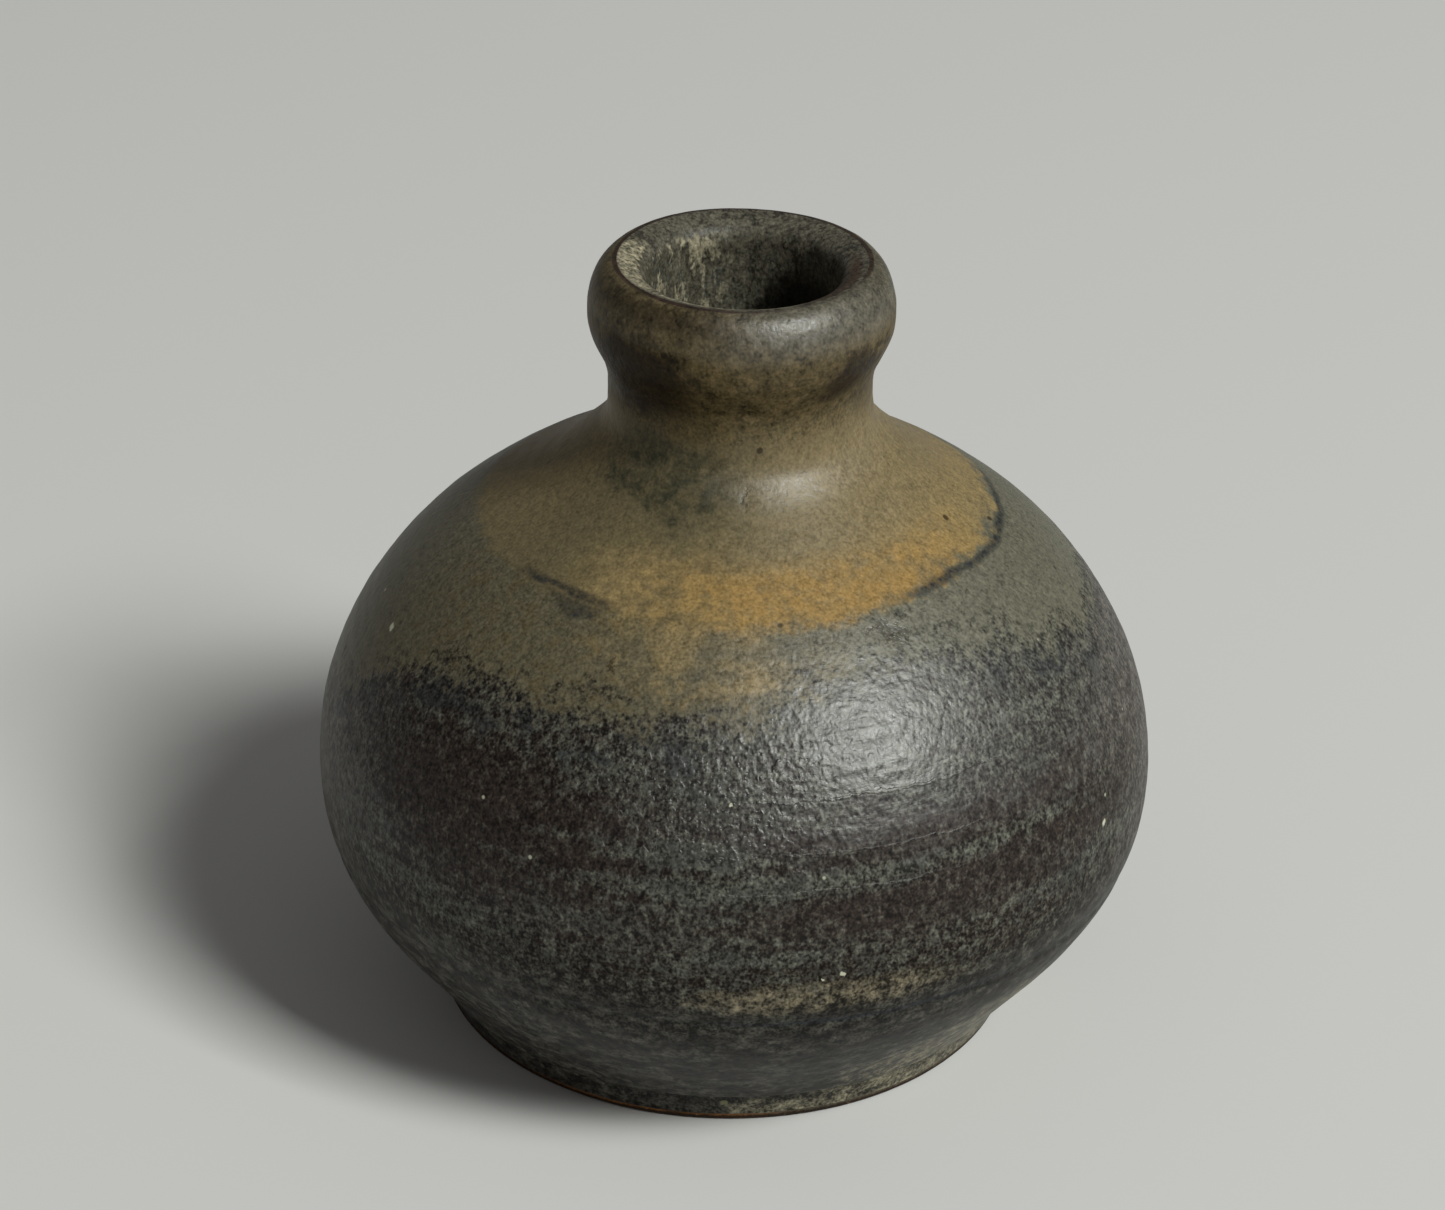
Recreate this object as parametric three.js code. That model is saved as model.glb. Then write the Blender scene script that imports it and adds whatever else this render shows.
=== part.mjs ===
// Ceramic bud vase: a thrown and turned stoneware bottle with a round belly, a short waisted neck
// and a rolled lip. The clay carries three coats of glaze, each a thin shell of its own.
// Millimetres, +Z up, the table at Z = 0 and the turning axis on Z.

import * as THREE from 'three';

// Outside shape
const overallHeight = 90.8;
const footRadius = 33.4;            // where the foot stands on the table
const footTopRadius = 34.8;
const footHeight = 4.3;             // the turned band under the belly
const ledgeRadius = 35.8;           // the belly's lower edge stands out over the foot
const ledgeHeight = 4.8;
const bellyRadius = 48;
const bellyHeight = 29.2;
const shoulderRise = 39.9;          // belly and shoulder follow one ellipse of this half height
const shoulderTop = 62;             // height where the shoulder turns up into the neck's long flare
const flareRadius = 16;             // top of the flare, where it tightens into the waist
const flareHeight = 70.9;
const flareDirection = new THREE.Vector2(-0.67, 0.74).normalize();
const waistRadius = 14.7;
const waistHeight = 76.6;
const lipRadius = 17;
const lipHeight = 85;
const crestRadius = 13.8;

// How strongly the free curves hold their end directions
const ledgeDirection = new THREE.Vector2(0.64, 1).normalize();
const ledgePull = 8.8;
const bellyPull = 11.4;
const flarePull = 5;
const waistPull = 2.1;
const lipPull = 3.8;
const borePull = 7;
const chamberPull = 3;
const chamberBellyPull = 13;
const floorPull = 11;

// Inside shape
const throatRadius = 10.7;
const throatHeight = 89.2;
const bevelRadius = 11.5;           // inner edge of the bevel that falls from the crest
const bevelHeight = 90.1;
const boreRadius = 10.4;
const boreFoot = 75;
const wall = 4.8;
const chamberTop = 60.5;            // height where the chamber narrows into the bore
const floorHeight = 8;
const floorRadius = 22;

// Underside
const edgeChamfer = 0.4;
const recessRadius = 26;
const recessDepth = 1.8;

// Glaze
const outsideCoat = 0.5;
const insideCoat = 0.4;
const gap = 0.3;                    // space kept between a coat and its neighbours
const footGlazeLine = 1.4;          // bare clay shows below this height
const dipLine = 60.8;               // the two outside coats meet at this height

const turnSegments = 40;

const clayColour = 0x7a4a2c;
const darkGlazeColour = 0x33332f;
const ochreGlazeColour = 0x6b5c3e;
const linerColour = 0x4a463c;

const point = (radius, height) => new THREE.Vector2(radius, height);

// Height to parameter angle on an ellipse centred on the axis at belly height
function angleAt(height, rise) {
  return Math.asin((height - bellyHeight) / rise);
}

// Points of the belly ellipse between two heights
function ellipseArc(radius, rise, fromHeight, toHeight, steps) {
  const arc = new THREE.EllipseCurve(
    0, bellyHeight, radius, rise, angleAt(fromHeight, rise), angleAt(toHeight, rise), toHeight < fromHeight,
  );
  return arc.getPoints(steps);
}

// A cubic curve between two points that leaves and arrives along given directions
function bend(start, startPull, end, endPull, steps) {
  const leaving = start.clone().add(startPull);
  const arriving = end.clone().sub(endPull);
  return new THREE.CubicBezierCurve(start, leaving, arriving, end).getPoints(steps);
}

// Joins runs of points, leaving out a run's first point where it repeats the last one
function join(...runs) {
  const joined = [];
  for (const next of runs.flat()) {
    const last = joined[joined.length - 1];
    if (!last || last.distanceTo(next) > 1e-6) joined.push(next.clone());
  }
  return joined;
}

// Moves an outline sideways by a constant distance, to the left of its direction of travel
function offset(outline, distance) {
  return outline.map((here, i) => {
    const before = outline[Math.max(i - 1, 0)];
    const after = outline[Math.min(i + 1, outline.length - 1)];
    const arriving = here.clone().sub(before).normalize();
    const leaving = after.clone().sub(here).normalize();
    const along = arriving.clone().add(leaving).normalize();
    const ends = i === 0 || i === outline.length - 1;
    const stretch = ends ? 1 : 1 / along.dot(leaving);
    return point(here.x - along.y * distance * stretch, here.y + along.x * distance * stretch);
  });
}

// Foot wall, from one height up to the ledge
function footWall(fromHeight) {
  const slope = (footTopRadius - footRadius) / footHeight;
  return [point(footRadius + slope * fromHeight, fromHeight), point(footTopRadius, footHeight)];
}

function lowerBelly() {
  const ledge = point(ledgeRadius, ledgeHeight);
  const belly = point(bellyRadius, bellyHeight);
  return bend(ledge, ledgeDirection.clone().multiplyScalar(ledgePull), belly, point(0, bellyPull), 7);
}

// Shoulder top, neck and lip, up to the crest
function neckAndLip() {
  const turn = angleAt(shoulderTop, shoulderRise);
  const shoulder = point(bellyRadius * Math.cos(turn), shoulderTop);
  const climb = point(-bellyRadius * Math.sin(turn), shoulderRise * Math.cos(turn)).normalize();
  const flare = point(flareRadius, flareHeight);
  const flareEnd = flareDirection.clone().multiplyScalar(flarePull);
  const flareStart = flareDirection.clone().multiplyScalar(waistPull);
  const waist = point(waistRadius, waistHeight);
  const lip = point(lipRadius, lipHeight);
  const crest = crestRadius + gap / 2;
  const lipTop = new THREE.EllipseCurve(
    crest, lipHeight, lipRadius - crest, overallHeight - lipHeight, 0, Math.PI / 2,
  );
  return join(
    bend(shoulder, climb.multiplyScalar(flarePull), flare, flareEnd, 3),
    bend(flare, flareStart, waist, point(0, waistPull), 3),
    bend(waist, point(0, lipPull), lip, point(0, lipPull), 4),
    lipTop.getPoints(5),
  );
}

// Everything that can be seen looking in: bevel, throat, bore, chamber and floor, ending on the axis
function insideOutline() {
  const chamberRadius = bellyRadius - wall;
  const chamberRise = shoulderRise - wall;
  const turn = angleAt(chamberTop, chamberRise);
  const neckFoot = point(chamberRadius * Math.cos(turn), chamberTop);
  const fall = point(chamberRadius * Math.sin(turn), -chamberRise * Math.cos(turn)).normalize();
  const belly = point(chamberRadius, bellyHeight);
  return join(
    [point(crestRadius - gap / 2, overallHeight), point(bevelRadius, bevelHeight)],
    [point(throatRadius, throatHeight), point(boreRadius, boreFoot)],
    bend(point(boreRadius, boreFoot), point(0, -borePull), neckFoot, fall.multiplyScalar(chamberPull), 4),
    ellipseArc(chamberRadius, chamberRise, chamberTop, bellyHeight, 6),
    bend(belly, point(0, -chamberBellyPull), point(floorRadius, floorHeight), point(-floorPull, 0), 5),
    [point(0, floorHeight)],
  );
}

const bodyCoatOutline = join(
  footWall(footGlazeLine),
  lowerBelly(),
  ellipseArc(bellyRadius, shoulderRise, bellyHeight, dipLine - gap / 2, 8),
);

const shoulderCoatOutline = join(
  ellipseArc(bellyRadius, shoulderRise, dipLine + gap / 2, shoulderTop, 1),
  neckAndLip(),
);

// A closed ring of glaze between an outline and the same outline moved into the wall
function coatProfile(outline, thickness) {
  return [...outline, ...offset(outline, thickness).reverse(), outline[0].clone()];
}

function bodyGlazeProfile() {
  return coatProfile(bodyCoatOutline, outsideCoat);
}

function shoulderGlazeProfile() {
  return coatProfile(shoulderCoatOutline, outsideCoat);
}

// The liner's floor reaches the axis, so its profile starts and ends there
function linerProfile() {
  const face = insideOutline();
  const back = offset(face, insideCoat);
  back[back.length - 1].x = 0;
  return [...back.reverse(), ...face];
}

function clayProfile() {
  const underOutside = outsideCoat + gap;
  const bareTop = footGlazeLine - gap;
  const glazedFace = join(
    footWall(bareTop),
    lowerBelly(),
    ellipseArc(bellyRadius, shoulderRise, bellyHeight, dipLine, 8),
    ellipseArc(bellyRadius, shoulderRise, dipLine, shoulderTop, 1),
    neckAndLip(),
  );
  const chamber = offset(insideOutline(), insideCoat + gap);
  chamber[chamber.length - 1].x = 0;
  return [
    point(0, recessDepth),
    point(recessRadius - recessDepth, recessDepth),
    point(recessRadius, 0),
    point(footRadius - edgeChamfer, 0),
    point(footRadius, edgeChamfer),
    footWall(bareTop)[0],
    ...offset(glazedFace, underOutside),
    ...chamber,
  ];
}

// Turns a profile of radius and height about Z
function turned(name, profile, material) {
  const geometry = new THREE.LatheGeometry(profile, turnSegments);
  geometry.rotateX(Math.PI / 2);
  const mesh = new THREE.Mesh(geometry, material);
  mesh.name = name;
  return mesh;
}

function satin(colour, roughness) {
  return new THREE.MeshStandardMaterial({ color: colour, roughness, metalness: 0 });
}

const vase = new THREE.Group();
vase.name = 'bud_vase';
vase.add(turned('clay_body', clayProfile(), satin(clayColour, 0.85)));
vase.add(turned('liner_glaze', linerProfile(), satin(linerColour, 0.5)));
vase.add(turned('body_glaze', bodyGlazeProfile(), satin(darkGlazeColour, 0.45)));
vase.add(turned('shoulder_glaze', shoulderGlazeProfile(), satin(ochreGlazeColour, 0.5)));

export default vase;
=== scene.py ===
from math import asin, atan2, cos, degrees, exp, pi, radians, sin

import bmesh
import bpy
from mathutils import Matrix, Vector, noise


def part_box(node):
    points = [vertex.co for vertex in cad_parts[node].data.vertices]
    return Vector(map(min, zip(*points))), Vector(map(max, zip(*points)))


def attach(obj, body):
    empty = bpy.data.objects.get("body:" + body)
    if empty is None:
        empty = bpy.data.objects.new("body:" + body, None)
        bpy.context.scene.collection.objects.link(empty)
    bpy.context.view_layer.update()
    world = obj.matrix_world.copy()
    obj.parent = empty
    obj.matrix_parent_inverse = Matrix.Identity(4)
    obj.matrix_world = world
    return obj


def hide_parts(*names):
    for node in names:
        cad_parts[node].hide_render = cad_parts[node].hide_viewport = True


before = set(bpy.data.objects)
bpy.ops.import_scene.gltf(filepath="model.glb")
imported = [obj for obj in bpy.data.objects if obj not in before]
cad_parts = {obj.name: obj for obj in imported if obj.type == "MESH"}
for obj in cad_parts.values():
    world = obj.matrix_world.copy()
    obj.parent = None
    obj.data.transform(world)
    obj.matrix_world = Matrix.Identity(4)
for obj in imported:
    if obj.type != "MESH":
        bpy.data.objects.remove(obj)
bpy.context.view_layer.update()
mm = 0.001
print("frame loaded:", ", ".join(sorted(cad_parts)))

# the camera looks down at the front from a little above the lip
cameraSet = {
    "place": Vector((0, -400, 265.5)) * mm,
    "tilt": radians(28.56),
    "turn": radians(0.14),
    "lean": radians(1.0),
    "lens": 99.3,
}


def makeCamera():
    camera = bpy.data.objects.new("camera", bpy.data.cameras.new("camera"))
    camera.data.lens = cameraSet["lens"]
    camera.data.sensor_width = 36
    camera.data.clip_start = 0.01
    aim = Matrix.Rotation(cameraSet["turn"], 4, "Z") @ Matrix.Rotation(pi / 2 - cameraSet["tilt"], 4, "X")
    roll = Matrix.Rotation(cameraSet["lean"], 4, "Z")
    camera.matrix_world = Matrix.Translation(cameraSet["place"]) @ aim @ roll
    bpy.context.scene.collection.objects.link(camera)
    bpy.context.scene.camera = camera


makeCamera()
print("camera placed")

# the turned form, in millimetres; its height and width come from the frame
form = {
    "height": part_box("shoulder_glaze")[1].z / mm,
    "footRadius": 33.4,
    "footTop": (34.75, 4.0),
    "ledge": (35.95, 5.0),       # the belly's lower edge stands out over the foot
    "ledgeWay": Vector((0.64, 1)).normalized() * 8.7,
    "bellyRadius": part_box("body_glaze")[1].x / mm,
    "bellyHeight": 29.2,
    "bellyWay": Vector((0, 11.4)),
    "shoulderRise": 39.9,        # belly and shoulder share one ellipse of this half height
    "shoulderTop": 62,           # the shoulder turns up into the neck's long flare here
    "flare": (16.0, 70.9),
    "flareWay": Vector((-0.67, 0.74)).normalized(),
    "waist": (14.7, 76.6),
    "lip": (17.0, 85.0),
    "crest": 13.8,
    "throat": (10.62, 87.6),
    "bore": (10.4, 75.0),
    "wall": 4.8,
    "chamberTop": 60.5,
    "chamberFloor": (22.0, 8.0),
    "dipLine": 60.8,             # the two outside coats meet at this height
    "glazeFoot": 1.4,            # bare clay shows below this height
    "coat": 0.5,                 # glaze thickness
    "leanSide": 0.6,             # the pot sits this far to one side of its foot
}

# what the potter's hands and the kiln leave on the surface, in millimetres
relief = {
    "swell": (0.14, 15),         # slow unevenness of the wall: height, size
    "rings": (0.045, 1.3),       # throwing lines: height, pitch
    "peel": (0.022, 1.5),        # thick glaze pulled into a skin: height, size
    "trimLine": (22.0, 0.7, 0.16),
    # ridges left by a finger: height on the pot, middle and half width in degrees, rise
    "ridges": ((47.4, 24, 20, 0.09), (42.2, 15, 22, 0.10), (38.2, 12, 38, 0.06), (33.6, -20, 30, 0.05),
               (25.4, 8, 24, 0.06), (66.5, 30, 60, 0.04), (57.6, -20, 34, 0.035)),
    # pits where a bubble broke: height on the pot, angle in degrees, radius, depth
    "pits": ((79.2, 3, 0.8, 0.16), (70.1, 3, 0.7, 0.12), (59.4, 32, 0.7, 0.12), (57.4, -24, 0.6, 0.1)),
}


def bezier(start, startWay, end, endWay, steps=40):
    a, d = Vector(start), Vector(end)
    b, c = a + Vector(startWay), d - Vector(endWay)
    points = []
    for i in range(steps + 1):
        t = i / steps
        s = 1 - t
        points.append(a * s**3 + b * (3 * s * s * t) + c * (3 * s * t * t) + d * t**3)
    return points


def ellipseRun(radius, rise, low, high, steps=60):
    first = asin((low - form["bellyHeight"]) / rise)
    last = asin((high - form["bellyHeight"]) / rise)
    turns = [first + (last - first) * i / steps for i in range(steps + 1)]
    return [Vector((radius * cos(t), form["bellyHeight"] + rise * sin(t))) for t in turns]


def evenly(points, step):
    # the same line with its points about one step apart
    total = sum((b - a).length for a, b in zip(points, points[1:]))
    count = max(1, round(total / step))
    spaced, gone, i = [points[0]], 0.0, 0
    for n in range(1, count):
        want = total * n / count
        while gone + (points[i + 1] - points[i]).length < want:
            gone += (points[i + 1] - points[i]).length
            i += 1
        run = points[i + 1] - points[i]
        spaced.append(points[i] + run * ((want - gone) / run.length))
    return spaced + [points[-1]]


def outward(points, i):
    # square to the line, on its right as it runs
    run = (points[min(i + 1, len(points) - 1)] - points[max(i - 1, 0)]).normalized()
    return Vector((run.y, -run.x))


def inset(points, depth):
    return [here - outward(points, i) * depth for i, here in enumerate(points)]


def footWall(low):
    foot, top = Vector((form["footRadius"], 0)), Vector(form["footTop"])
    return [foot.lerp(top, low / top.y), top]


def lowerBelly():
    belly = (form["bellyRadius"], form["bellyHeight"])
    underLedge = bezier(form["footTop"], (0.05, 0.55), form["ledge"], form["ledgeWay"] * 0.08, 8)
    return underLedge[1:] + bezier(form["ledge"], form["ledgeWay"], belly, form["bellyWay"])[1:]


def shoulder(low, high):
    return ellipseRun(form["bellyRadius"], form["shoulderRise"], low, high)


def neckAndLip():
    turn = asin((form["shoulderTop"] - form["bellyHeight"]) / form["shoulderRise"])
    start = (form["bellyRadius"] * cos(turn), form["shoulderTop"])
    climb = Vector((-form["bellyRadius"] * sin(turn), form["shoulderRise"] * cos(turn))).normalized()
    lip, crest = Vector(form["lip"]), form["crest"]
    line = bezier(start, climb * 5, form["flare"], form["flareWay"] * 5)
    line += bezier(form["flare"], form["flareWay"] * 2.1, form["waist"], (0, 2.1))[1:]
    line += bezier(form["waist"], (0, 3.8), form["lip"], (0, 3.8))[1:]
    for i in range(1, 25):
        t = pi / 2 * i / 24
        line.append(Vector((crest + (lip.x - crest) * cos(t), lip.y + (form["height"] - lip.y) * sin(t))))
    return line


def mouth():
    crest = (form["crest"], form["height"])
    return bezier(crest, (-2.5, -0.55), form["throat"], (0, -1.9)) + [Vector(form["bore"])]


def chamber():
    radius = form["bellyRadius"] - form["wall"]
    rise = form["shoulderRise"] - form["wall"]
    turn = asin((form["chamberTop"] - form["bellyHeight"]) / rise)
    top = (radius * cos(turn), form["chamberTop"])
    fall = Vector((radius * sin(turn), -rise * cos(turn))).normalized()
    line = bezier(form["bore"], (0, -7), top, fall * 3)[1:]
    line += ellipseRun(radius, rise, form["chamberTop"], form["bellyHeight"])[1:]
    line += bezier((radius, form["bellyHeight"]), (0, -13), form["chamberFloor"], (-11, 0))[1:]
    return line + [Vector((0, form["chamberFloor"][1]))]


def window(value, middle, half):
    # 1 in the middle, falling smoothly to 0 at the edges
    away = abs(value - middle) / half
    return 0.5 + 0.5 * cos(pi * away) if away < 1 else 0.0


def reliefAt(radius, turn, height):
    # turn is in degrees from the front, positive to the right
    side, front = sin(radians(turn)), cos(radians(turn))
    rise, size = relief["swell"]
    total = rise * noise.noise(Vector((radius * side, radius * front, height)) / size)
    rise, size = relief["rings"]
    total += rise * noise.noise(Vector((side * 1.2, front * 1.2, height / size)))
    total += rise * 0.7 * noise.noise(Vector((side * 0.8 + 9, front * 0.8, height / (size * 3))))
    rise, size = relief["peel"]
    total += rise * noise.noise(Vector((radius * side, radius * front, height * 0.7)) / size)
    for place, middle, half, rise in relief["ridges"]:
        away = height - place - 0.5 * noise.noise(Vector((side * 3, front * 3, place)))
        if abs(away) < 2:
            patchy = 0.75 + 0.5 * noise.noise(Vector((side * 9, front * 9, place)))
            width = 0.7 if away > 0 else 0.35
            total += rise * patchy * window(turn, middle, half) * exp(-(away / width) ** 2)
    for place, middle, size, depth in relief["pits"]:
        away = Vector((height - place, radians(turn - middle) * radius)).length
        if away < size * 2.5:
            total -= depth * exp(-(away / size) ** 2)
    place, width, depth = relief["trimLine"]
    return total - depth * exp(-((height - place) / width) ** 2)


def lean(height):
    t = min(max(height / form["bellyHeight"], 0), 1)
    return form["leanSide"] * t * t * (3 - 2 * t)


def turnedPiece(name, front, back, steps, strength=1.0):
    # turns a front line and a back line, joined at their ends, about the axis
    mesh = bmesh.new()
    sideways = mesh.verts.layers.float.new("sideways")
    upwards = mesh.verts.layers.float.new("upwards")
    loop = []
    for points, shown in ((front, strength), (back[::-1], 0.0)):
        for i, here in enumerate(points):
            vert = mesh.verts.new((0, -here.x * mm, here.y * mm))
            vert[sideways], vert[upwards] = outward(points, i) * shown
            loop.append(vert)
    edges = [mesh.edges.new(pair) for pair in zip(loop, loop[1:])]
    if min(front[0].x, back[0].x) > 0.01:
        edges.append(mesh.edges.new((loop[-1], loop[0])))
    bmesh.ops.spin(
        mesh, geom=loop + edges, cent=(0, 0, 0), axis=(0, 0, 1), angle=2 * pi, steps=steps, use_merge=True)
    bmesh.ops.remove_doubles(mesh, verts=mesh.verts, dist=1e-6)
    bmesh.ops.recalc_face_normals(mesh, faces=mesh.faces)
    for edge in mesh.edges:
        edge.smooth = edge.calc_face_angle(0) < radians(50)
    for vert in mesh.verts:
        radius, height = vert.co.xy.length / mm, vert.co.z / mm
        if radius > 0.01 and (vert[sideways] or vert[upwards]):
            away = vert.co.xy.normalized()
            push = reliefAt(radius, degrees(atan2(away.x, -away.y)), height) * mm
            vert.co += Vector((away.x * vert[sideways], away.y * vert[sideways], vert[upwards])) * push
        vert.co.x += lean(height) * mm
        vert.co.z = max(vert.co.z, 0)
    data = bpy.data.meshes.new(name)
    mesh.to_mesh(data)
    mesh.free()
    for face in data.polygons:
        face.use_smooth = True
    data.calc_loop_triangles()
    print(name, len(data.loop_triangles), "triangles")
    piece = bpy.data.objects.new(name, data)
    bpy.context.scene.collection.objects.link(piece)
    return piece


class Wire:
    # one socket of a shader: sums with numbers and other wires add their Math nodes
    def __init__(self, tree, socket=None):
        self.tree = tree
        self.socket = socket

    def add(self, kind, settings=None, inputs=None, output=0):
        node = self.tree.nodes.new(kind)
        for name, value in (settings or {}).items():
            if name == "stops":
                self.setStops(node.color_ramp, value)
            else:
                setattr(node, name, value)
        for place, value in (inputs or {}).items():
            target = node.inputs[place]
            if isinstance(value, Wire):
                self.tree.links.new(value.socket, target)
            elif target.type == "RGBA":
                target.default_value = (*value, 1)
            else:
                target.default_value = value
        return Wire(self.tree, node.outputs[output] if node.outputs else None)

    def setStops(self, ramp, stops):
        ramp.interpolation = "EASE"
        for i, (place, value) in enumerate(stops):
            stop = ramp.elements[i] if i < 2 else ramp.elements.new(place)
            stop.position, stop.color = place, (value, value, value, 1)

    def sibling(self, output):
        return Wire(self.tree, self.socket.node.outputs[output])

    def maths(self, operation, *values):
        return self.add("ShaderNodeMath", {"operation": operation}, dict(enumerate(values)))

    def __add__(self, other):
        return self.maths("ADD", self, other)

    __radd__ = __add__

    def __sub__(self, other):
        return self.maths("SUBTRACT", self, other)

    def __rsub__(self, other):
        return self.maths("SUBTRACT", other, self)

    def __mul__(self, other):
        return self.maths("MULTIPLY", self, other)

    __rmul__ = __mul__

    def __truediv__(self, other):
        return self.maths("DIVIDE", self, other)

    def rise(self, low, high):
        # 0 at low, 1 at high, smooth between; low above high makes it fall
        return self.add("ShaderNodeMapRange", {"interpolation_type": "SMOOTHSTEP"}, {0: self, 1: low, 2: high})

    def within(self, low, high, soft):
        return self.rise(low - soft, low + soft) * self.rise(high + soft, high - soft)

    def cloud(self, size, tall=1.0, detail=2.0, rough=0.5):
        # soft noise on a place in millimetres: blotches of this size, tall times as high
        scale = (1 / size, 1 / size, 1 / (size * tall))
        scaled = self.add("ShaderNodeMapping", inputs={"Vector": self, "Scale": scale})
        return self.add("ShaderNodeTexNoise", inputs={
            "Vector": scaled, "Scale": 1.0, "Detail": detail, "Roughness": rough})


def paint(under, colour, mask):
    # colour over what is under it, where the mask is 1
    return mask.add("ShaderNodeMix", {"data_type": "RGBA"}, {0: mask, 6: under, 7: colour}, 2)


def shade(colour, amount):
    # the colour made lighter or darker by a wire of numbers about 1
    return amount.add("ShaderNodeVectorMath", {"operation": "SCALE"}, {0: colour, "Scale": amount})


def spot(turn, height, middle, half, level, tall, soft=0.6):
    # 1 inside an ellipse of these half sizes, in degrees across and millimetres up
    across, along = (turn - middle) / half, (height - level) / tall
    return (across * across + along * along).rise(1 + soft, 1 - soft)


def freshMaterial(name):
    material = bpy.data.materials.new(name)
    material.use_nodes = True
    material.node_tree.nodes.clear()
    place = Wire(material.node_tree).add("ShaderNodeTexCoord", output="Object")
    place = place.add("ShaderNodeVectorMath", {"operation": "SCALE"}, {0: place, "Scale": 1 / mm})
    side = place.add("ShaderNodeSeparateXYZ", inputs={0: place})
    turn = side.maths("ARCTAN2", side, 0 - side.sibling(1)) * degrees(1)
    return material, place, turn, side.sibling(2)


def finishMaterial(colour, roughness, bumps, gloss, glossy, matte):
    # two sheens over one colour; bumps are in millimetres
    normal = colour.add("ShaderNodeBump", inputs={"Strength": 1.0, "Distance": mm, "Height": bumps})
    sheens = []
    for level in (matte, glossy):
        sheens.append(colour.add("ShaderNodeBsdfPrincipled", inputs={
            "Base Color": colour, "Roughness": roughness, "Specular IOR Level": level, "Normal": normal}))
    mixed = gloss.add("ShaderNodeMixShader", inputs={0: gloss, 1: sheens[0], 2: sheens[1]})
    mixed.add("ShaderNodeOutputMaterial", inputs={"Surface": mixed})


glazeLook = {
    "iron": (0.024, 0.0165, 0.0130),      # maroon-brown, matte, where the glaze lies thin
    "crust": (0.070, 0.073, 0.058),       # grey-green skin that stands on it
    "crustDark": (0.028, 0.029, 0.025),
    "ashAndSheen": (0.088, 0.079, 0.068),         # paler and drier round the sides, partly a painted sheen at the edges
    "slate": (0.022, 0.0198, 0.0165),     # smoother, near the foot
    "slateLight": (0.049, 0.047, 0.038),
    "inkBlue": (0.016, 0.019, 0.022),
    "olive": (0.110, 0.096, 0.060),
    "oliveGreyAndSheen": (0.125, 0.121, 0.088),
    "oliveLight": (0.128, 0.104, 0.057),  # above the shoulder line
    "oliveBrown": (0.088, 0.063, 0.029),
    "khaki": (0.195, 0.152, 0.080),
    "haze": (0.040, 0.039, 0.024),
    "ochre": (0.295, 0.186, 0.064),
    "ochreDull": (0.245, 0.182, 0.084),
    "neckBrown": (0.080, 0.061, 0.027),
    "neckDark": (0.014, 0.008, 0.0035),
    "lipGreyAndHighlight": (0.085, 0.078, 0.056),
    "break": (0.030, 0.018, 0.012),
    "tan": (0.140, 0.129, 0.090),
    "tanBrown": (0.118, 0.101, 0.067),
    "speck": (0.60, 0.60, 0.46),
    "speckDull": (0.20, 0.20, 0.11),
    "matte": 0.1,
    "glossy": 0.95,
    # blotches, largest first: size, height against width, detail, roughness
    "drift": (17, 0.8),
    "patch": (5.5, 0.5, 2, 0.55),
    "mottle": (1.8, 0.75, 3, 0.62),
    "grain": (0.75, 1.3, 3, 0.6),
    "dust": (0.33, 1.1, 1),
    "crinkle": (0.8, 1.35, 1),            # the leathery relief
    "drag": (7, 0.13, 3, 0.6),            # streaks along the throwing lines
    # the lower edge of the olive coat: turn in degrees, height in millimetres
    "oliveEdge": (
        (-180, 50), (-130, 44), (-95, 41), (-76, 43), (-64, 49), (-50, 53), (-20, 53.6), (2, 53.8), (14, 56.5),
        (34, 57.5), (52, 56), (64, 53.5), (78, 51.5), (92, 51), (125, 52), (155, 49), (180, 50)),
    # places: middle and half width in degrees, height and half height in millimetres
    # where the dark coat lies thicker (+) or thinner (-), and how much
    "cover": (
        (-36, 19, 40.5, 7.0, -0.40), (26, 30, 42.9, 1.9, -0.34), (34, 28, 36.0, 3.2, -0.36),
        (66, 20, 41.0, 5.0, -0.20), (-6, 20, 42.2, 1.3, 0.50), (-2, 26, 38.6, 1.2, 0.50),
        (34, 26, 39.7, 0.7, 0.30), (2, 12, 31.2, 0.9, 0.40), (-44, 20, 30.0, 1.5, 0.20),
        (58, 18, 32.0, 1.2, 0.25), (-46, 30, 45.0, 5.0, -0.22)),
    "tanOverFoot": (60, 34, 6, 10.5),
    "tanOnFoot": (46, 44, 2.0, 2.4),
    "tanStreak": (15, 18, 25.8, 1.9),
    "duskyPatch": (-30, 27, 71.2, 3.4),
    "ochreLobe": (-6, 24, 59.4, 3.0),
    "darkNeckLeft": (-42, 29, 81.9, 4.7),
    "darkNeckRight": (53, 15, 82.6, 3.0),
    "footSpeck": (0.4, 0.7, 3.1, 0.4),
    # pale specks that catch the eye: turn, height, radius
    "paleSpecks": (
        (15.2, 28.7, 0.32), (12.6, 28.2, 0.18), (-72, 51, 0.5), (60, 34.5, 0.36), (0.5, 47.2, 0.2)),
    # thin raised lines of thick glaze
    "glazeRidges": ((24, 17, 47.4, 0.14), (15, 19, 42.2, 0.14), (12, 30, 38.4, 0.16)),
    "speckSpacing": 2.6,
}


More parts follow.
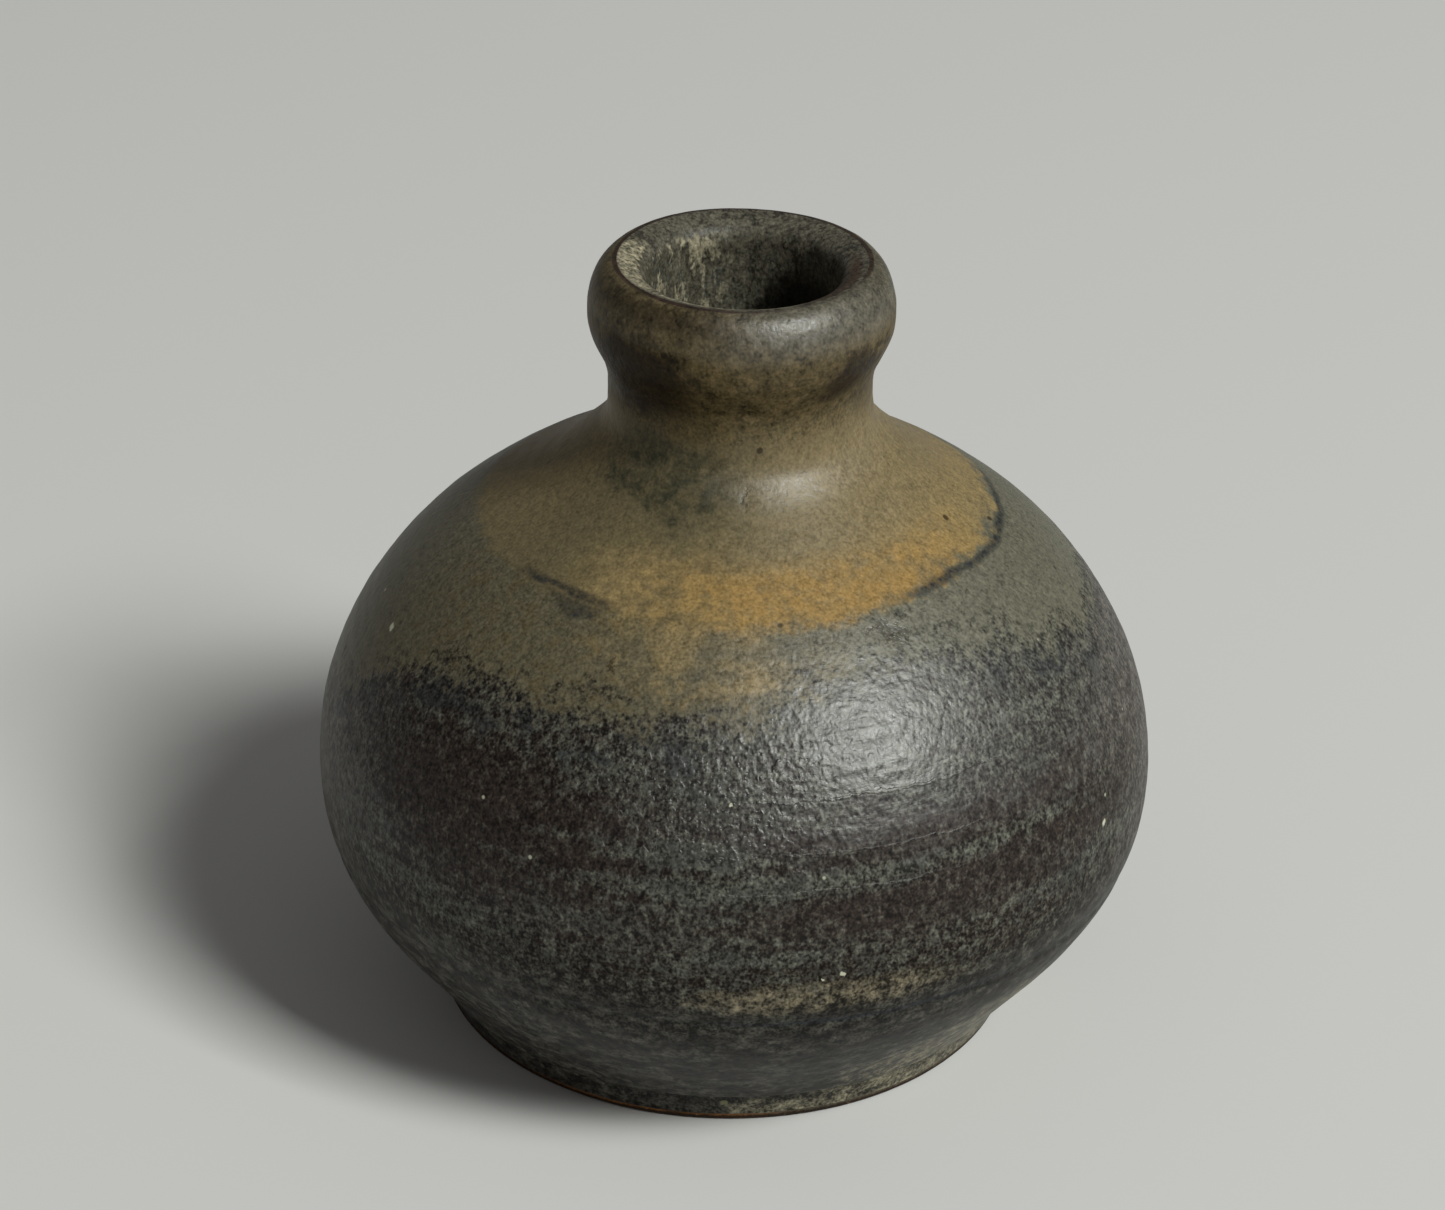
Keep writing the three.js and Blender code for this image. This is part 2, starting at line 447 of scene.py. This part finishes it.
def outsideGlaze(name):
    look = glazeLook
    material, place, turn, height = freshMaterial(name)
    drift = place.cloud(*look["drift"])
    patch = place.cloud(*look["patch"])
    mottle = place.cloud(*look["mottle"])
    grain = place.cloud(*look["grain"])
    dust = place.cloud(*look["dust"])
    crinkle = place.cloud(*look["crinkle"])
    drag = place.cloud(*look["drag"])
    fuzzy = (mottle - 0.5) * 5 + (grain - 0.5) * 3
    level = height + (patch - 0.5) * 6 + fuzzy
    ring = height + (patch - 0.5) * 1.2 + (grain - 0.5) * 0.6
    around = turn + (drift - 0.5) * 34 + (mottle - 0.5) * 16
    mid = height.rise(24, 29)
    upper = (height + (mottle - 0.5) * 1.4).rise(60.2, 61.4)

    # dark coat: a grey-green skin on maroon iron, thick or thin by place
    cover = 0.36 + (patch - 0.5) * 0.7 + (drag - 0.5) * 1.1
    cover = cover + level.rise(43, 50) * (0.02 + 0.24 * turn.rise(-34, 6))
    for middle, half, high, tall, amount in look["cover"]:
        cover = cover + amount * spot(around, height + fuzzy * 0.25, middle, half, high, tall, 0.8)
    skin = (cover + (grain - 0.5) * 1.9 + (mottle - 0.5) * 1.5 + (dust - 0.5) * 0.8).rise(-0.15, 1.15)
    crust = paint(look["crust"], look["crustDark"], (patch + mottle - 1).rise(-0.02, 0.2) * 0.8)
    colour = paint(look["iron"], crust, skin)
    # paler round both sides: drier ash glaze, and partly a painted sheen where the surface turns away
    ashAndSheenSides = (around.rise(54, 84) + around.rise(-56, -84)) * level.rise(56, 44)
    colour = paint(colour, look["ashAndSheen"], ashAndSheenSides * (0.75 + (mottle - 0.5) * 1.5))

    # smooth dark band between the belly and the foot
    low = ((patch - 0.5) * 2.2 + (mottle - 0.5) * 2.2 + (drag - 0.5) * 1.6 + 0.42).rise(0.1, 0.9)
    colour = paint(paint(look["slate"], look["slateLight"], low), colour, (level - 25).rise(-1.5, 2.5))
    overFoot = spot(around, height, *look["tanOverFoot"], 0.5) * (0.8 + (mottle - 0.5) * 2)
    onFoot = spot(around, height, *look["tanOnFoot"], 0.5) * (0.7 + (mottle - 0.5) * 2)
    streak = spot(around, ring, *look["tanStreak"], 0.9) * (0.62 + (mottle - 0.5) * 3)
    colour = paint(paint(colour, look["tan"], overFoot), look["tan"], onFoot)
    colour = paint(colour, look["tanBrown"], streak)
    # blue-black line along the trim groove, strongest on the right of the front: partly the glaze's colour,
    # partly painted shade under the groove's step
    trimLineAndShade = (ring - relief["trimLine"][0]).within(-0.3, 0.4, 0.3)
    colour = paint(colour, look["inkBlue"], trimLineAndShade * (0.1 + 0.75 * around.within(2, 46, 10)))

    # olive coat over the shoulder, ragged and inky along its lower edge
    edgeStops = [((stop + 180) / 360, edge / 100) for stop, edge in look["oliveEdge"]]
    edge = turn.add("ShaderNodeValToRGB", {"stops": edgeStops}, {0: (turn + 180) / 360}) * 100
    above = level - edge
    olive = (above + (grain - 0.5) * 2.5).rise(-2.0, 2.2)
    warm = paint(look["olive"], look["oliveBrown"], (mottle - 0.5).rise(-0.02, 0.16) * 0.5)
    # greyer olive over the right and at the far left: partly the coat's own grey, partly a painted sheen where
    # the highlight falls and at the edge
    warm = paint(warm, look["oliveGreyAndSheen"], around.rise(-4, 30) * 0.9 + around.rise(-55, -85) * 0.6)
    ink = above.within(-3.4, 0.2, 1.2) * patch.rise(0.44, 0.58) * (turn.rise(6, -10) + turn.within(46, 78, 8))
    colour = paint(colour, look["inkBlue"], ink * 0.6)
    colour = paint(colour, warm, olive)

    # from the shoulder line up
    rightwards = turn.rise(18, 48)
    fray = ring + (1.8 + 1.2 * rightwards) * (mottle - 0.5) - 0.7 * rightwards
    khaki = paint(look["oliveLight"], look["khaki"], around.rise(-14, 45) + around.rise(-45, -85) * 0.75)
    dusky = spot(around, level, *look["duskyPatch"], 0.9) * (0.75 + (mottle - 0.5) * 3)
    khaki = paint(khaki, look["haze"], dusky)
    colour = paint(colour, khaki, upper * (fray.rise(60.2, 61.2) * rightwards + 1 - rightwards))
    clumps = 0.85 + (mottle - 0.5) * 2.4 + (patch - 0.5) * 1.6
    band = fray.rise(60.0, 61.5) * (ring + (patch - 0.5) * 3).rise(67.5, 62.8) * clumps
    ochre = paint(look["ochreDull"], look["ochre"], turn.within(-14, 64, 20) * ring.rise(66.2, 63.4))
    colour = paint(colour, ochre, band * turn.within(-36, 125, 14))
    lobe = spot(around, level, *look["ochreLobe"], 0.9) * (0.45 + (patch - 0.5) * 2)
    colour = paint(colour, look["ochreDull"], lobe)

    # thin inky line where the coats meet, smeared downwards on the left of the front
    lineHeight = height + (patch - 0.5) * 1.0 - 0.5 * turn.rise(70, 50)
    line = (lineHeight - 60.75).within(-0.28, 0.28, 0.2) * (turn.within(-52, -27, 5) + turn.within(42, 108, 8))
    smear = (height - 60.9 + 1.3 * turn.within(-40, -29, 5) + (mottle - 0.5) * 1.4).rise(-0.2, 0.3)
    line = line + smear * height.rise(61.1, 60.7) * turn.within(-46, -28, 4) * (0.75 + (mottle - 0.5) * 2)
    colour = paint(colour, look["inkBlue"], line * (0.7 + (grain - 0.5) * 2))

    # neck and lip
    neck = paint(look["neckBrown"], look["oliveBrown"], mottle.rise(0.4, 0.65) * 0.7)
    neck = paint(neck, look["khaki"], around.within(0, 60, 20) * height.rise(79.5, 75) * 0.35)
    colour = paint(colour, neck, (level - 76).rise(-3, 1.6))
    darks = spot(around, level, *look["darkNeckLeft"], 0.85) + spot(around, level, *look["darkNeckRight"], 0.8)
    colour = paint(colour, look["neckDark"], darks * (0.85 + (mottle - 0.5) * 1.6))
    # grey over the top of the lip, stronger on the right: partly the glaze's own grey, partly a painted
    # highlight
    lipTop = (height + fuzzy * 0.5 - 87.2).rise(-1.8, 1.4)
    colour = paint(colour, look["lipGreyAndHighlight"], lipTop * (0.15 + 0.75 * around.rise(-20, 34)))
    under = (height + (mottle - 0.5) * 2).within(88.6, 90.5, 0.4) * turn.within(-66, 0, 14)
    colour = paint(colour, look["neckDark"], under * 0.5)
    colour = paint(colour, look["break"], (height + (mottle - 0.5) * 0.1).rise(90.68, 90.76))

    # grain of the colour, pits and pale specks
    contrast = 1.1 - upper * (0.8 - 0.45 * height.rise(74, 79)) - 0.7 * olive * (1 - upper)
    neckward = height.rise(75, 79)
    weight = 1.4 + 1.6 * (1 - mid) + 1.6 * neckward
    fine = (dust - 0.5) * (3.4 - 1.2 * neckward) + (grain - 0.5) * (3.0 - 1.2 * neckward)
    depth = 1 + contrast * (fine + (mottle - 0.5) * weight)
    colour = shade(colour, depth.maths("MAXIMUM", depth, 0.25))
    cells = place.add("ShaderNodeTexVoronoi", inputs={"Vector": place, "Scale": 1 / look["speckSpacing"]})
    chosen = cells.add("ShaderNodeSeparateColor", inputs={0: cells.sibling(1)})
    specks = cells.rise(0.12, 0.05) * chosen.rise(0.93, 0.94) * height.rise(58, 50) * mid * 0.7
    for middle, high, size in look["paleSpecks"]:
        specks = specks + spot(turn, height + (grain - 0.5) * 1.5, middle, size * 1.25, high, size, 0.5)
    colour = paint(colour, look["speck"], specks * 0.9)
    colour = paint(colour, look["speckDull"], spot(turn, ring, *look["footSpeck"], 0.5) * 0.8)
    pits = cells.rise(0.2, 0.1) * chosen.rise(0.06, 0.05)
    for high, middle, size in (pit[:3] for pit in relief["pits"]):
        pits = pits + spot(around, ring, middle, size * 2, high, size, 0.9) * 0.7
    colour = paint(colour, look["neckDark"], pits * 0.8)

    rough = 0.43 + 0.06 * (1 - skin) * mid * (1 - olive)
    rough = rough + 0.05 * upper + (grain - 0.5) * 0.3 + (dust - 0.5) * 0.3
    leather = 0.05 + 0.065 * mid * (1 - upper) * (1 - 0.6 * olive) + 0.04 * height.rise(76, 82)
    flakes = level.within(40, 52, 3) * turn.within(-30, 12, 10)
    bumps = crinkle * (leather + 0.07 * flakes) + grain * 0.015 + drag * 0.05 * mid * (1 - olive) - pits * 0.05
    bumps = bumps + skin * 0.02 * mid + 0.05 * flakes * (crinkle + mottle - 1).rise(-0.05, 0.12)
    for middle, half, high, tall in look["glazeRidges"]:
        bumps = bumps + 0.06 * spot(turn, ring, middle, half, high, tall, 0.9)
    gloss = 0.05 + 0.3 * height.rise(26, 34) + 0.65 * level.rise(39, 45) * turn.within(-10, 72, 16)
    gloss = gloss - 0.15 * (1 - skin) * mid * (1 - olive) - 0.3 * olive * (1 - upper)
    shine = 0.5 * height.within(69.5, 72.5, 1) + 0.75 * height.rise(84.5, 87)
    gloss = gloss - upper * (0.85 - shine) + (grain - 0.5) * 0.5
    finishMaterial(colour, rough, bumps, gloss, look["glossy"], look["matte"])
    return material


linerLook = {
    "wall": (0.090, 0.083, 0.060),
    "dark": (0.018, 0.017, 0.013),
    # painted shadow inside the throat
    "shadowBlack": (0.005, 0.005, 0.004),
    "blue": (0.034, 0.040, 0.039),
    "cream": (0.30, 0.27, 0.185),
    "rim": (0.095, 0.088, 0.066),
    "rust": (0.050, 0.030, 0.019),
    "matte": 0.1,
    "glossy": 0.35,
    # blotches: size, height against width, detail, roughness
    "runs": (1.1, 2.4, 3, 0.65),
    "blots": (2.6, 1.5, 3, 0.6),
    "grain": (0.6, 1.2, 3, 0.6),
    "dust": (0.33, 1.1, 1),
    # rusty mark on the right of the mouth: turn, half width, radius, half depth
    "rustMark": (66, 34, 13, 0.9),
}


def insideGlaze():
    look = linerLook
    material, place, turn, height = freshMaterial("liner glaze")
    flat = place.add("ShaderNodeVectorMath", {"operation": "MULTIPLY"}, {0: place, 1: (1, 1, 0)})
    radius = flat.add("ShaderNodeVectorMath", {"operation": "LENGTH"}, {0: flat}, "Value")
    runs = place.cloud(*look["runs"])
    blots = place.cloud(*look["blots"])
    grain = place.cloud(*look["grain"])
    dust = place.cloud(*look["dust"])
    # the bevel at the mouth, then the wall below it, paler at the back left
    throat = height.rise(90.0, 88.8)
    leftBack = turn.within(-165, -80, 25)
    blotted = (blots - 0.5 + (runs - 0.5) * 0.6).rise(-0.08, 0.10)
    wall = paint(look["wall"], look["dark"], blotted * (0.95 - 0.5 * leftBack))
    wall = paint(wall, look["blue"], (runs - 0.5 - (blots - 0.5) * 0.5).rise(0.0, 0.1) * 0.7)
    pale = (runs - 0.5 + (blots - 0.5) * 0.4).rise(-0.01, 0.13)
    wall = paint(wall, look["cream"], pale * (0.25 + 0.65 * leftBack))
    rim = paint(look["rim"], look["dark"], (runs - 0.5 + (blots - 0.5) * 0.7).rise(0.0, 0.14) * 0.7)
    colour = paint(rim, wall, throat)
    # painted shadow down the right of the throat, where the lamp does not reach
    sideways = place.add("ShaderNodeSeparateXYZ", inputs={0: place})
    deep = (sideways + (blots - 0.5) * 6 - (height - 78) * 0.6).rise(-1.5, 2) * height.rise(86.8, 83.5)
    colour = paint(colour, look["shadowBlack"], deep * 0.9)
    # a painted highlight along the front of the mouth's inner edge, and pale where the glaze has pulled thin
    # on the left bevel
    edgeHighlight = (radius + (grain - 0.5) * 0.6).within(12.2, 12.9, 0.15) * turn.within(-75, 35, 20)
    colour = paint(colour, look["cream"], edgeHighlight * (0.65 + (grain - 0.5) * 1.5))
    left = turn.within(-114, -52, 8) * (radius + (grain - 0.5)).within(10.9, 13.2, 0.25)
    colour = paint(colour, look["cream"], left * (0.62 + (grain - 0.5) * 3))
    rust = spot(turn, radius + (grain - 0.5) * 2, *look["rustMark"], 0.8)
    colour = paint(colour, look["rust"], rust * 0.85)
    depth = 1 + (grain - 0.5) * 2.4 + (dust - 0.5) * 2
    colour = shade(colour, depth.maths("MAXIMUM", depth, 0.3))
    rough, bumps = 0.45 + (grain - 0.5) * 0.2, (grain + runs) * 0.08
    finishMaterial(colour, rough, bumps, grain, look["glossy"], look["matte"])
    return material


clayLook = {
    "bare": (0.20, 0.088, 0.030),
    "scorchAndShade": (0.022, 0.013, 0.007),    # dark brown: flame marks in blots, and painted shade on the left and along the bottom where it stands
    "dusty": (0.075, 0.066, 0.048),       # on the right
    "grog": (0.36, 0.25, 0.14),
    "matte": 0.1,
    "glossy": 0.2,
    "blots": (6, 1, 2),
    "grain": (0.5, 1, 3, 0.65),
}


def bareClay():
    look = clayLook
    material, place, turn, height = freshMaterial("bare clay")
    blots = place.cloud(*look["blots"])
    grain = place.cloud(*look["grain"])
    colour = paint(look["bare"], look["scorchAndShade"], (blots - 0.5).rise(-0.02, 0.12) * 0.6)
    # painted shade on the left, the side away from the lamp
    colour = paint(colour, look["scorchAndShade"], turn.within(-110, -34, 10) * 0.8)
    colour = paint(colour, look["dusty"], turn.within(8, 110, 10) * 0.9)
    # painted shade along the bottom edge, where it curves under onto the table
    colour = paint(colour, look["scorchAndShade"], (height + (grain - 0.5) * 0.5).within(0.04, 0.72, 0.12) * 0.9)
    colour = paint(colour, look["grog"], grain.rise(0.64, 0.74) * 0.4)
    colour = shade(colour, 1 + (grain - 0.5) * 1.2)
    rough, bumps = 0.8 + (grain - 0.5) * 0.2, grain * 0.12
    finishMaterial(colour, rough, bumps, grain, look["glossy"], look["matte"])
    return material


bodyCoat = {"step": 0.45, "backStep": 3, "around": 400}


def makeBodyGlaze():
    foot = footWall(form["glazeFoot"])
    # the coat ends in a small roll above the bare clay
    roll = bezier(foot[0] - Vector((form["coat"] - 0.08, 0.45)), (0.3, -0.05), foot[0], (0.02, 0.3), 5)
    line = roll + [foot[1]] + lowerBelly() + shoulder(form["bellyHeight"], form["dipLine"])[1:]
    front = roll[:-1] + evenly(line[5:], bodyCoat["step"])
    back = inset(evenly(line[5:], bodyCoat["backStep"]), form["coat"])
    piece = turnedPiece("bodyGlaze", front, back, bodyCoat["around"])
    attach(piece, "root")
    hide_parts("body_glaze")
    return piece


shoulderCoat = {"step": 0.45, "backStep": 2, "around": 400}


def makeShoulderGlaze():
    line = shoulder(form["dipLine"], form["shoulderTop"]) + neckAndLip()[1:]
    front = evenly(line, shoulderCoat["step"])
    back = inset(evenly(line, shoulderCoat["backStep"]), form["coat"])
    piece = turnedPiece("shoulderGlaze", front, back, shoulderCoat["around"])
    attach(piece, "root")
    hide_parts("shoulder_glaze")
    return piece


linerCoat = {"step": 0.45, "chamberStep": 2.5, "backStep": 4, "around": 400}


def makeLinerGlaze():
    front = evenly(mouth(), linerCoat["step"]) + evenly(chamber(), linerCoat["chamberStep"])[1:]
    back = inset(evenly(mouth() + chamber(), linerCoat["backStep"]), form["coat"])
    back[-1].x = 0
    piece = turnedPiece("linerGlaze", front, back, linerCoat["around"])
    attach(piece, "root")
    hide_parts("liner_glaze")
    return piece


clay = {
    "recessRadius": 26.0,
    "recessDepth": 1.8,
    "edge": 0.5,                 # soft edge of the foot on the table
    "under": 0.55,               # how far the clay lies under the glaze
    "step": 0.8,
    "backStep": 3,
    "around": 240,
}


def makeClayBody():
    foot = form["footRadius"]
    recess, deep, edge = clay["recessRadius"], clay["recessDepth"], clay["edge"]
    under = [Vector((0, deep)), Vector((recess - deep, deep)), Vector((recess, 0)), Vector((foot - edge, 0))]
    under += bezier(under[-1], (edge * 0.6, 0), (foot + 0.15, edge), (0, edge * 0.6), 4)[1:]
    bare = footWall(form["glazeFoot"] - 0.3)[0]
    outside = footWall(form["glazeFoot"]) + lowerBelly()
    outside += shoulder(form["bellyHeight"], form["shoulderTop"])[1:] + neckAndLip()[1:]
    outside = evenly(outside, clay["backStep"])
    inside = evenly(mouth() + chamber(), clay["backStep"])
    front = evenly(under[:2], 2) + evenly(under[1:3], clay["step"])[1:]
    front += evenly(under[2:4], clay["step"])[1:] + under[4:] + [bare]
    hidden = inset(outside, clay["under"]) + inset(inside, clay["under"])
    hidden[-1].x = 0
    piece = turnedPiece("clayBody", front, hidden[::-1], clay["around"], 0.6)
    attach(piece, "root")
    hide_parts("clay_body")
    return piece


makeBodyGlaze().data.materials.append(outsideGlaze("body glaze"))
makeShoulderGlaze().data.materials.append(outsideGlaze("shoulder glaze"))
makeLinerGlaze().data.materials.append(insideGlaze())
makeClayBody().data.materials.append(bareClay())
print("glazes mixed and clay fired")

studio = {
    "floorSize": 6,
    "floorColour": (0.70, 0.70, 0.695),
    "floorRough": 0.9,
    "keyWay": (0.547, -0.446, 0.708),   # from the vase to the lamp
    "keyAim": Vector((0, 0, 0.045)),
    "keyDistance": 3.0,
    "keySize": 0.9,
    "keyPower": 84,
    "keyColour": (0.985, 1.0, 0.955),
    "skyColour": (1.0, 0.985, 0.95),
    "skyStrength": 0.14,
}


def makeFloor():
    mesh = bmesh.new()
    bmesh.ops.create_grid(mesh, x_segments=1, y_segments=1, size=studio["floorSize"])
    data = bpy.data.meshes.new("floor")
    mesh.to_mesh(data)
    mesh.free()
    floor = bpy.data.objects.new("floor", data)
    bpy.context.scene.collection.objects.link(floor)
    material = bpy.data.materials.new("floor")
    material.use_nodes = True
    shader = material.node_tree.nodes["Principled BSDF"]
    shader.inputs["Base Color"].default_value = (*studio["floorColour"], 1)
    shader.inputs["Roughness"].default_value = studio["floorRough"]
    data.materials.append(material)


def makeLight():
    lamp = bpy.data.lights.new("key", "AREA")
    lamp.shape = "RECTANGLE"
    lamp.size = lamp.size_y = studio["keySize"]
    lamp.energy = studio["keyPower"]
    lamp.color = studio["keyColour"]
    way = Vector(studio["keyWay"])
    light = bpy.data.objects.new("key", lamp)
    light.location = way.normalized() * studio["keyDistance"] + studio["keyAim"]
    light.rotation_euler = way.to_track_quat("Z", "Y").to_euler()
    bpy.context.scene.collection.objects.link(light)
    world = bpy.data.worlds.new("studio")
    world.use_nodes = True
    background = world.node_tree.nodes["Background"]
    background.inputs["Color"].default_value = (*studio["skyColour"], 1)
    background.inputs["Strength"].default_value = studio["skyStrength"]
    bpy.context.scene.world = world
    bpy.context.scene.view_settings.view_transform = "Standard"


makeFloor()
makeLight()
print("floor and light set")
